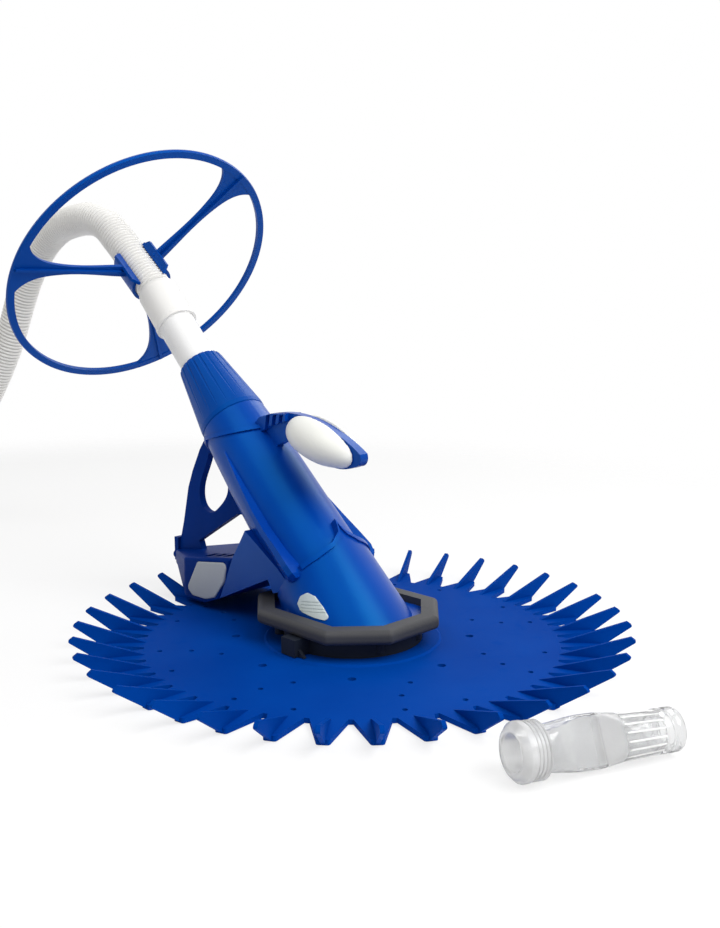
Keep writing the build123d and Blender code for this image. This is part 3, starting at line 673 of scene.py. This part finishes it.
@dataclass
class FlexibleValve:
    """Silicone valve: threaded mouth collar, pressed throat, ribbed neck and end collar.

    Sizes are in millimetres, and z runs from the mouth to the far end. A station is a z, half the
    width and half the thickness there. An edge or thread is a list of z and a step in from a radius,
    and the ribs' section a list of how far out and how far across.
    """

    name: str
    node: str
    place: Matrix
    sides: int = 120
    length: float = 123.0

    mouth: float = 12.0             # the bore's radius
    mouth_edge: Profile = ((0.5, -0.6), (0.0, -1.5))
    mouth_depth: float = 1.2        # where the mouth's rounded edge has become the bore
    lip: float = 19.3               # the mouth collar's radius
    lip_edge: Profile = ((0.0, 4.5), (0.5, 3.4), (3.6, 0.3), (4.4, 0.0), (7.6, 0.0), (8.3, 0.8))
    threads: int = 4
    thread_first: float = 8.6
    thread_pitch: float = 2.6
    thread: Profile = ((0.0, 1.3), (0.8, 1.3), (1.2, 0.7), (1.5, 0.5), (2.1, 0.5), (2.4, 0.8))
    lip_back: Profile = ((19.4, 1.8),)

    wall: float = 1.4
    wall_from: float = 19.25        # inside the mouth collar
    wall_flare: float = 0.4
    throat: Span = (20.0, 84.0)
    throat_step: float = 2.0
    throat_start: float = 14.9      # radius where it leaves the mouth collar
    throat_half: float = 17.6       # half the width where it is pressed flat
    pinch: Span = (52.0, 60.0)      # where it is pressed flattest
    pinch_half: float = 4.9         # half the thickness there
    crease: float = 0.45            # how softly the flats meet the round sides
    least_flat: float = 0.05        # less difference of width and thickness than this is round
    neck: Span = (15.4, 14.2)       # radius at the ribs' start and end
    neck_stations: tuple[float, ...] = (86.0, 95.0, 107.0)
    frost: tuple[float, ...] = (62.0, 67.0, 75.5, 76.5)     # starts, is full, fades, is gone

    collar: float = 14.85           # the end collar's radius
    collar_edge: Profile = (
        (108.0, 1.0), (108.6, 0.4), (109.6, 0.0), (112.4, 0.0), (113.4, 0.6), (114.2, 1.3),
        (115.3, 1.3), (116.2, 0.5), (117.0, 0.0), (121.8, 0.0), (122.6, 0.4), (123.0, 1.2))
    outlet: float = 11.4            # its bore's radius
    outlet_edge: Profile = ((123.0, -0.4), (122.5, 0.0), (109.0, 0.0))

    rib_count: int = 17
    rib_span: Span = (77.0, 107.5)
    rib_circle: float = 14.1        # radius of the circle that the ribs are set on
    rib_section: Profile = ((-0.7, -0.6), (0.25, -0.6), (0.55, 0.0), (0.25, 0.6), (-0.7, 0.6))
    rib_shares: tuple[float, ...] = (0.0, 0.04, 0.12, 0.88, 0.96, 1.0)
    rib_end: float = 0.12           # share of its length in which a rib rises
    rib_end_rise: float = 0.25      # share of its height at the very end
    rib_end_width: float = 0.6      # share of its width if it had no height there

    @classmethod
    def lying(cls, name: str, node: str, heading: float, roll: float) -> "FlexibleValve":
        """Return a valve that lies on its lip and its end collar.

        Args:
            name: the pieces' name.
            node: the CAD node that it stands for.
            heading: degrees from +X to where its far end points.
            roll: degrees that it is turned round its own axis.

        Returns:
            The valve.
        """
        tip = math.atan2(cls.lip - cls.collar, cls.length)
        laid = Matrix.Rotation(math.radians(heading), 4, "Z") @ Matrix.Rotation(math.pi / 2 + tip, 4, "Y")
        return cls(name, node, laid @ Matrix.Rotation(math.radians(roll), 4, "Z"))

    def neck_at(self, z: float) -> float:
        """Size the round wall, which widens up to the ribs and then tapers to the end collar.

        Args:
            z: the place along the valve.

        Returns:
            The wall's outer radius.
        """
        low, high = self.neck
        start, end = self.rib_span
        rise = self.throat_start + (low - self.throat_start) * ramp(z, self.throat[0], start)
        return rise + (high - low) * max(0.0, (z - start) / (end - start))

    def wall_stations(self) -> list[Station]:
        """Shape the wall between the collars, pressed flat in its middle.

        Returns:
            The outside's stations.
        """
        stations = []
        z, end = self.throat
        while z < end:
            full = self.neck_at(z)
            press = ramp(z, self.throat[0], self.pinch[0]) * (1.0 - ramp(z, self.pinch[1], end))
            stations.append((z, full + (self.throat_half - full) * press,
                             full - (full - self.pinch_half) * press))
            z += self.throat_step
        return stations + [(z, self.neck_at(z), self.neck_at(z)) for z in self.neck_stations]

    def collar_outline(self) -> list[Station]:
        """Shape the mouth collar: mouth, lip, threads and back along the bore.

        Returns:
            The closed outline's stations.
        """
        steps = list(self.lip_edge)
        for k in range(self.threads):
            start = self.thread_first + self.thread_pitch * k
            steps += [(start + z, step) for z, step in self.thread]
        steps += self.lip_back
        back = self.lip_back[-1][0]
        points = [(z, self.mouth - step) for z, step in self.mouth_edge]
        points += [(z, self.lip - step) for z, step in steps]
        points += [(back, self.mouth), (self.mouth_depth, self.mouth)]
        return [(z, r, r) for z, r in points]

    def tube_outline(self) -> list[Station]:
        """Shape the wall and the end collar, out along the outside and back along the bore.

        Returns:
            The closed outline's stations.
        """
        wall = self.wall_stations()
        root = self.throat_start
        out = [(self.wall_from, root + self.wall_flare, root + self.wall_flare), *wall]
        out += [(z, self.collar - step, self.collar - step) for z, step in self.collar_edge]
        out += [(z, self.outlet - step, self.outlet - step) for z, step in self.outlet_edge]
        out += [(z, wide - self.wall, thick - self.wall) for z, wide, thick in reversed(wall[1:])]
        return out + [(self.wall_from, root - self.wall, root - self.wall)]

    def ring(self, z: float, wide: float, thick: float) -> list[Vector]:
        """Return one ring: round, with two flats where it is thinner than wide.

        Args:
            z: the ring's place along the valve.
            wide: half the width, the radius of the round sides.
            thick: half the thickness between the flats.

        Returns:
            The ring's points in metres.
        """
        points = []
        for j in range(self.sides):
            turn = math.tau * j / self.sides
            across = wide * math.sin(turn)
            if wide - thick > self.least_flat:
                ends = math.exp(-abs(across) / self.crease) + math.exp(-thick / self.crease)
                across = math.copysign(max(-self.crease * math.log(ends), 0.0), across)
            points.append(Vector((wide * math.cos(turn), across, z)) * MM)
        return points

    def tube_mesh(self) -> bpy.types.Mesh:
        """Build the thin wall and its end collar.

        Returns:
            The closed mesh, whose frost attribute says where it is frosted.
        """
        mesh = skin_mesh(self.name, [self.ring(*station) for station in self.tube_outline()])
        start, full, fades, gone = self.frost
        frost = mesh.attributes.new("frost", "FLOAT", "POINT")
        for vert, target in zip(mesh.vertices, frost.data):
            z = vert.co.z / MM
            target.value = ramp(z, start, full) * (1.0 - ramp(z, fades, gone))
        return mesh

    def rib_mesh(self) -> bpy.types.Mesh:
        """Build one rib on the +X side of the neck.

        Returns:
            The closed mesh, with its X measured from the ribs' circle.
        """
        start, end = self.rib_span
        rings = []
        for share in self.rib_shares:
            z = start + (end - start) * share
            risen = math.sin(math.pi / 2 * min(share, 1 - share, self.rib_end) / self.rib_end)
            rise = self.rib_end_rise + (1.0 - self.rib_end_rise) * risen
            width = self.rib_end_width + (1.0 - self.rib_end_width) * rise
            base = self.neck_at(z) - self.rib_circle
            rings.append([Vector((base + out * rise, across * width, z)) * MM
                          for out, across in self.rib_section])
        return skin_mesh("valve_rib", rings, capped=True)

    def rule(self) -> GeometryTree:
        """Make the rule that sets copies of a rib round the neck.

        Returns:
            The group.
        """
        tree = GeometryTree("rib_ring", Count=self.rib_count, Radius=self.rib_circle * MM,
                            Finish=Finish.RIB_SILICONE_PAINTED_HIGHLIGHT.material)
        count = tree.given("Count")
        ring = tree.node("GeometryNodeMeshCircle", {}, {"Vertices": count, "Radius": tree.given("Radius")})
        index = Value(tree, tree.node("GeometryNodeInputIndex").outputs[0])
        turn = tree.node("ShaderNodeCombineXYZ", {}, {"Z": index * math.tau / count})
        ribs = tree.node("GeometryNodeInstanceOnPoints", {}, {
            "Points": ring.outputs["Mesh"], "Instance": tree.given("Geometry"), "Rotation": turn.outputs[0]})
        tree.close(ribs.outputs[0])
        return tree

    def build(self) -> None:
        """Build the wall, the mouth collar and the ribs, centred on the node's box."""
        rib = add_object(self.name + "_rib", self.rib_mesh())
        rings = [self.ring(*station) for station in self.collar_outline()]
        pieces = [
            (self.name, self.tube_mesh(), Finish.CLEAR),
            (self.name + "_collar", skin_mesh(self.name + "_collar", rings), Finish.MILKY),
            (self.name + "_ribs", self.rule().run(rib), Finish.RIB_SILICONE_PAINTED_HIGHLIGHT),
        ]
        bpy.data.objects.remove(rib)
        for _, mesh, _ in pieces:
            mesh.transform(self.place)
        low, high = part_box(self.node)
        shift = []
        for axis in range(3):
            along = [v.co[axis] for _, mesh, _ in pieces for v in mesh.vertices]
            shift.append((low[axis] + high[axis] - min(along) - max(along)) / 2)
        for name, mesh, finish in pieces:
            mesh.transform(Matrix.Translation(shift))
            piece = add_object(name, mesh)
            dress(piece, finish)
            stand_for(piece, self.node)


# ---- soft pads ------------------------------------------------------------------------------
@dataclass
class SoftPad:
    """Moulded soft pad: its solid with every edge rolled over."""

    node: str
    slot: str
    finish: Finish
    voxel: float                    # size of the remeshing in metres
    rounds: int                     # of smoothing
    fill: float | None = None       # how full a padded piece is; None for a flat pad
    weld: float = 1e-6              # metres within which two of the solid's points are one
    soften: float = 0.5
    smooth_below: float = 60.0      # degrees

    def build(self) -> None:
        """Build the pad over its solid."""
        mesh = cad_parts[self.node].data.copy()
        work = bmesh.new()
        work.from_mesh(mesh)
        bmesh.ops.remove_doubles(work, verts=work.verts, dist=self.weld)
        work.to_mesh(mesh)
        work.free()
        pad = add_object(self.node + "_cover", mesh)
        remesh = pad.modifiers.new("remesh", "REMESH")
        remesh.mode = "VOXEL"
        remesh.voxel_size = self.voxel
        soften = pad.modifiers.new("soften", "SMOOTH")
        soften.factor = self.soften
        soften.iterations = self.rounds
        graph = bpy.context.evaluated_depsgraph_get()
        pad.data = bpy.data.meshes.new_from_object(pad.evaluated_get(graph))
        pad.modifiers.clear()
        self.refill(pad.data)
        finish_mesh(pad.data, self.smooth_below)
        dress(pad, self.finish)
        stand_for(pad, self.node)

    def refill(self, mesh: bpy.types.Mesh) -> None:
        """Stretch the softened mesh back to its solid's box.

        Args:
            mesh: the pad's mesh, changed in place.
        """
        low, high = (Vector(corner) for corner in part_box(self.node))
        corners = [v.co.copy() for v in mesh.vertices]
        for axis in range(3):
            a, b = min(c[axis] for c in corners), max(c[axis] for c in corners)
            for vert in mesh.vertices:
                vert.co[axis] = low[axis] + (vert.co[axis] - a) / (b - a) * (high[axis] - low[axis])


# ---- studio ---------------------------------------------------------------------------------
@dataclass(frozen=True)
class Lamp:
    """One soft round area lamp."""

    name: str
    at: Point
    aim: Point
    size: float                     # its diameter in metres
    power: float                    # watts

    def hang(self) -> None:
        """Add the lamp to the scene."""
        data = bpy.data.lights.new(self.name, "AREA")
        data.shape = "DISK"
        data.size = self.size
        data.energy = self.power
        lamp = add_object(self.name, data)
        lamp.location = self.at
        facing = Vector(self.aim) - Vector(self.at)
        lamp.rotation_euler = facing.to_track_quat("-Z", "Y").to_euler()


@dataclass
class Studio:
    """Camera, floor, lamps and the white surround."""

    camera_at: Point = (0.6136, -0.6045, 0.2985)
    azimuth: float = math.radians(45)
    tilt: float = math.radians(9.36)
    lens: float = 39.8
    sensor: float = 36.0
    floor_half: float = 1.6         # half the floor's side
    floor_drop: float = 0.0006
    floor_colour: Colour = (0.95, 0.95, 0.95)
    floor_roughness: float = 0.9
    floor_glow: float = 0.72
    fade_round: Point = (-0.36, 0.0, 0.0)
    fade: Span = (0.75, 1.15)       # metres from fade_round between which the floor fades out
    white: Colour = (1.0, 1.0, 1.0)
    surround: Colour = (1.0, 0.99, 0.975)
    surround_power: float = 0.34
    lamps: tuple[Lamp, ...] = (
        Lamp("key", at=(1.15, 0.25, 1.35), aim=(0, 0, 0.12), size=1.3, power=25.0),
        Lamp("top", at=(0.2, -0.9, 1.9), aim=(0, 0, 0), size=1.6, power=11.0),
        Lamp("rim", at=(-0.5, 1.4, 1.3), aim=(0, 0, 0.1), size=1.2, power=7.0))

    def camera(self) -> None:
        """Place the camera and make it the scene's."""
        data = bpy.data.cameras.new("camera")
        data.lens = self.lens
        data.sensor_width = self.sensor
        camera = add_object("camera", data)
        camera.location = self.camera_at
        camera.rotation_euler = (math.pi / 2 - self.tilt, 0, self.azimuth)
        bpy.context.scene.camera = camera

    def seen(self, tree: NodeTree, *extra: str) -> Value:
        """Return 1 for a ray from the camera or through clear silicone, or of the extra kinds.

        Args:
            tree: where the nodes go.
            extra: names of more Light Path outputs.

        Returns:
            1 or 0.
        """
        rays = tree.node("ShaderNodeLightPath")
        found = tree.math("MAXIMUM", rays.outputs["Is Camera Ray"], rays.outputs["Is Transmission Ray"])
        for kind in extra:
            found = tree.math("MAXIMUM", found, rays.outputs[kind])
        return found

    def world(self) -> None:
        """White to the camera and in reflections, softer as light."""
        world = bpy.data.worlds.new("surround")
        bpy.context.scene.world = world
        world.use_nodes = True
        world.node_tree.nodes.clear()
        tree = NodeTree(world.node_tree)
        soft = tree.node("ShaderNodeBackground", {}, {"Color": (*self.surround, 1.0),
                                                      "Strength": self.surround_power})
        white = tree.node("ShaderNodeBackground", {}, {"Color": (*self.white, 1.0), "Strength": 1.0})
        mix = tree.node("ShaderNodeMixShader", {}, {0: self.seen(tree, "Is Glossy Ray"), 1: soft.outputs[0],
                                                    2: white.outputs[0]})
        tree.node("ShaderNodeOutputWorld", {}, {"Surface": mix.outputs[0]})

    def floor(self) -> None:
        """Lay the pale floor, which keeps the shadow and fades into the surround."""
        mesh = bpy.data.meshes.new("floor")
        s = self.floor_half
        mesh.from_pydata([(-s, -s, 0), (s, -s, 0), (s, s, 0), (-s, s, 0)], [], [(0, 1, 2, 3)])
        floor = add_object("floor", mesh)
        floor.location.z = -self.floor_drop
        tree = ShaderTree("floor_white")
        tree.set(Base_Color=(*self.floor_colour, 1.0), Roughness=self.floor_roughness, Specular_IOR_Level=0.0)
        glow = tree.node("ShaderNodeEmission", {}, {"Color": (*self.white, 1.0), "Strength": 1.0})
        lit = tree.node("ShaderNodeMixShader", {}, {0: self.seen(tree) * self.floor_glow,
                                                    1: tree.shader.outputs[0], 2: glow.outputs[0]})
        away = tree.node("ShaderNodeVectorMath", {"operation": "DISTANCE"},
                         {0: tree.where(), 1: self.fade_round})
        fade = Value(tree, away.outputs["Value"]).smooth(*self.fade)
        clear = tree.node("ShaderNodeBsdfTransparent")
        mix = tree.node("ShaderNodeMixShader", {}, {0: fade, 1: lit.outputs[0], 2: clear.outputs[0]})
        tree.feed(tree.tree.nodes["Material Output"].inputs["Surface"], mix.outputs[0])
        mesh.materials.append(tree.material)

    def lights(self) -> None:
        """Hang the lamps and choose the plain view transform."""
        for lamp in self.lamps:
            lamp.hang()
        bpy.context.scene.view_settings.view_transform = "Standard"


def main() -> None:
    """Dress the cleaner and set the studio."""
    logging.basicConfig(level=logging.INFO, format="%(name)s: %(message)s")
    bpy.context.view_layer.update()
    studio = Studio()
    studio.camera()
    LeaderHose().build()
    for name, finish in NODE_FINISH.items():
        dress(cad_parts[name], finish)
    working = LEAN.matrix @ Matrix.Translation((0, 0, VALVE_AT * MM))
    FlexibleValve("valve_working", "diaphragm", working).build()
    FlexibleValve.lying("valve_spare", "spare_diaphragm", heading=67.2, roll=152.0).build()
    for side in ("left", "right"):
        SoftPad("front_pad_" + side, "pad_white", Finish.PAD, voxel=1.3 * MM, rounds=8, fill=0.95).build()
        SoftPad("tail_pad_" + side, "pad_grey", Finish.PAD_GREY, voxel=0.7 * MM, rounds=16).build()
    studio.floor()
    studio.world()
    studio.lights()


if __name__ == "__main__":
    main()
